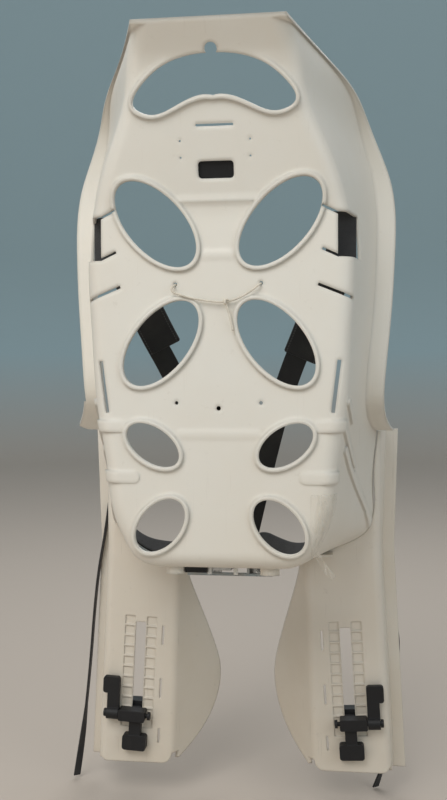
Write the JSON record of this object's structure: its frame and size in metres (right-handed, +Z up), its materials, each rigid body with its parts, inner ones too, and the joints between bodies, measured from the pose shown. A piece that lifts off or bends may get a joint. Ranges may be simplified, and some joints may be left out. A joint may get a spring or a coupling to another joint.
{
  "type": "child bike seat",
  "caption": "Moulded bucket seat for a child on a bicycle, with oval vents, a harness, leg guards and height-adjustable foot rests, fixed by a bracket under the pan.",
  "frame": {"origin": "middle of the flat underside of the carrier bracket under the pan", "axes": "+X across the seat, +Y the way the child faces, +Z up along the back panel, which leans back by 12 degrees when the bracket lies level on a carrier"},
  "size_m": [0.473, 0.3861, 0.9495],
  "materials": {
    "shell": "satin, aged cream white",
    "black_plastic": "matte",
    "red_button": "matte",
    "webbing": "woven",
    "foot_strap": "matte",
    "white_peg": "satin",
    "zinc": "zinc plated",
    "string": "twisted cord",
    "clear_film": "clear film"
  },
  "bodies": {
    "seat": {"seat_shell": "shell", "leg_guard_left": "shell", "leg_guard_right": "shell", "harness_strap_left": "webbing", "harness_strap_right": "webbing", "harness_yoke": "webbing", "harness_anchor": "black_plastic", "buckle_housing": "black_plastic", "crotch_strap": "webbing", "lap_belt": "webbing", "foot_strap_left": "foot_strap", "foot_strap_right": "foot_strap", "carrier_bracket": "zinc", "rod_tube_left": "zinc", "rod_tube_right": "zinc", "bracket_bolts": "zinc", "guard_bolts": "zinc", "clamp_pegs": "white_peg", "lock_bar": "black_plastic", "tie_string": "string", "tie_knot": "string", "tie_tail": "string", "corner_strip": "clear_film"},
    "footrest_left": {"footrest_slider_left": "black_plastic", "footrest_pin_left": "black_plastic", "foot_plate_left": "black_plastic"},
    "lever_left": {"footrest_lever_left": "black_plastic"},
    "footrest_right": {"footrest_slider_right": "black_plastic", "footrest_pin_right": "black_plastic", "foot_plate_right": "black_plastic"},
    "lever_right": {"footrest_lever_right": "black_plastic"},
    "button": {"buckle_button": "red_button"}
  },
  "joints": [
    {"name": "footrest_slide_left", "type": "slide", "parent": "seat", "child": "footrest_left", "axis": [0.0567, 0, 0.9984], "range_m": [0, 0.115]},
    {"name": "lever_hinge_left", "type": "hinge", "parent": "footrest_left", "child": "lever_left", "pos_m": [-0.1468, 0.079, -0.215], "axis": [0.9984, 0, -0.0567], "range_deg": [0, 80]},
    {"name": "footrest_slide_right", "type": "slide", "parent": "seat", "child": "footrest_right", "axis": [-0.0567, 0, 0.9984], "range_m": [0, 0.115]},
    {"name": "lever_hinge_right", "type": "hinge", "parent": "footrest_right", "child": "lever_right", "pos_m": [0.1468, 0.079, -0.215], "axis": [0.9984, 0, 0.0567], "range_deg": [0, 80]},
    {"name": "button_slide", "type": "slide", "parent": "seat", "child": "button", "axis": [0, -1, 0], "range_m": [0, 0.0025], "stiffness_N_per_m": 600, "springref_m": -0.001}
  ]
}
